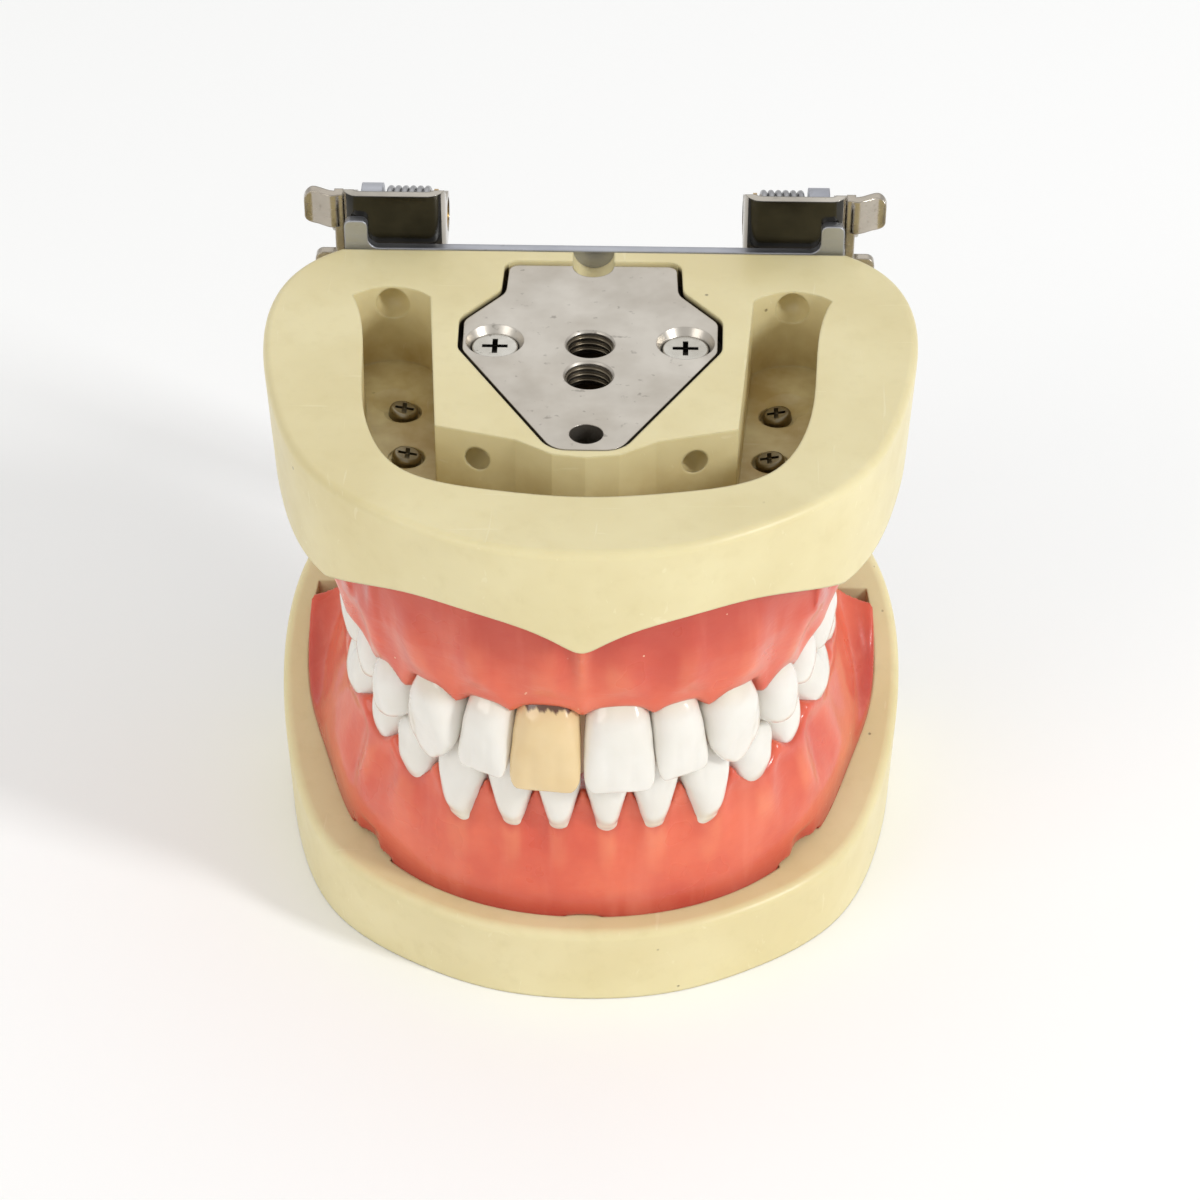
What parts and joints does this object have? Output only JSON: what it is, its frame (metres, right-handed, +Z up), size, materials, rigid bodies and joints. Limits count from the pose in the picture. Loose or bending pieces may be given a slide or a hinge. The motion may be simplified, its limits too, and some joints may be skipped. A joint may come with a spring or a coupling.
{
  "type": "typodont model",
  "caption": "Hinged pair of dental training jaws: cream resin bases, pink gingiva, screw-retained teeth, a steel mounting plate and sprung rear hinges with release levers.",
  "frame": {"origin": "middle of the flat underside of the lower base, which the model stands on", "axes": "+X to the patient's left, -Y to the front teeth, +Z up towards the upper base and its mounting plate"},
  "size_m": [0.0786, 0.0732, 0.0764],
  "materials": {
    "cream_resin": "satin cast resin",
    "pink_silicone": "glossy soft silicone",
    "white_tooth": "polished",
    "tan_tooth": "polished",
    "aluminium": "matt",
    "nickel_steel": "bright nickel plate",
    "nickel_plate": "scratched nickel plate",
    "spring_steel": "drawn wire",
    "brass": "turned",
    "zinc_steel": "zinc plate"
  },
  "bodies": {
    "lower_jaw": {"lower_base": "cream_resin", "lower_gingiva": "pink_silicone", "lower_tooth_screws": "zinc_steel", "lower_hinge_frame": "aluminium", "lower_hinge_frame_screws": "zinc_steel", "lower_right_central_incisor": "white_tooth", "lower_right_lateral_incisor": "white_tooth", "lower_right_canine": "white_tooth", "lower_right_first_premolar": "white_tooth", "lower_right_second_premolar": "white_tooth", "lower_right_first_molar": "white_tooth", "lower_right_second_molar": "white_tooth", "lower_left_central_incisor": "white_tooth", "lower_left_lateral_incisor": "white_tooth", "lower_left_canine": "white_tooth", "lower_left_first_premolar": "white_tooth", "lower_left_second_premolar": "white_tooth", "lower_left_first_molar": "white_tooth", "lower_left_second_molar": "white_tooth", "right_hinge_pin": "zinc_steel", "left_hinge_pin": "zinc_steel", "right_hinge_spring": "spring_steel", "left_hinge_spring": "spring_steel"},
    "upper_jaw": {"upper_base": "cream_resin", "upper_gingiva": "pink_silicone", "upper_tooth_screws": "zinc_steel", "mounting_plate": "nickel_plate", "mounting_plate_screws": "zinc_steel", "upper_hinge_plate": "aluminium", "upper_hinge_plate_screws": "zinc_steel", "bracket_rivets": "zinc_steel", "upper_right_central_incisor": "tan_tooth", "upper_right_lateral_incisor": "white_tooth", "upper_right_canine": "white_tooth", "upper_right_first_premolar": "white_tooth", "upper_right_second_premolar": "white_tooth", "upper_right_first_molar": "white_tooth", "upper_right_second_molar": "white_tooth", "upper_left_central_incisor": "white_tooth", "upper_left_lateral_incisor": "white_tooth", "upper_left_canine": "white_tooth", "upper_left_first_premolar": "white_tooth", "upper_left_second_premolar": "white_tooth", "upper_left_first_molar": "white_tooth", "upper_left_second_molar": "white_tooth", "right_hinge_bracket": "nickel_steel", "left_hinge_bracket": "nickel_steel", "right_hinge_bush": "brass", "left_hinge_bush": "brass"},
    "right_release_lever": {"right_release_lever": "nickel_steel"},
    "left_release_lever": {"left_release_lever": "nickel_steel"}
  },
  "joints": [
    {"name": "jaw_hinge", "type": "hinge", "parent": "lower_jaw", "child": "upper_jaw", "pos_m": [0, 0.037, 0.0702], "axis": [-1, 0, 0], "range_deg": [0, 60]},
    {"name": "right_lever_pivot", "type": "hinge", "parent": "upper_jaw", "child": "right_release_lever", "pos_m": [0, 0.037, 0.0702], "axis": [-1, 0, 0], "range_deg": [0, 18], "stiffness_Nm_per_rad": 0.02},
    {"name": "left_lever_pivot", "type": "hinge", "parent": "upper_jaw", "child": "left_release_lever", "pos_m": [0, 0.037, 0.0702], "axis": [-1, 0, 0], "range_deg": [0, 18], "stiffness_Nm_per_rad": 0.02}
  ]
}
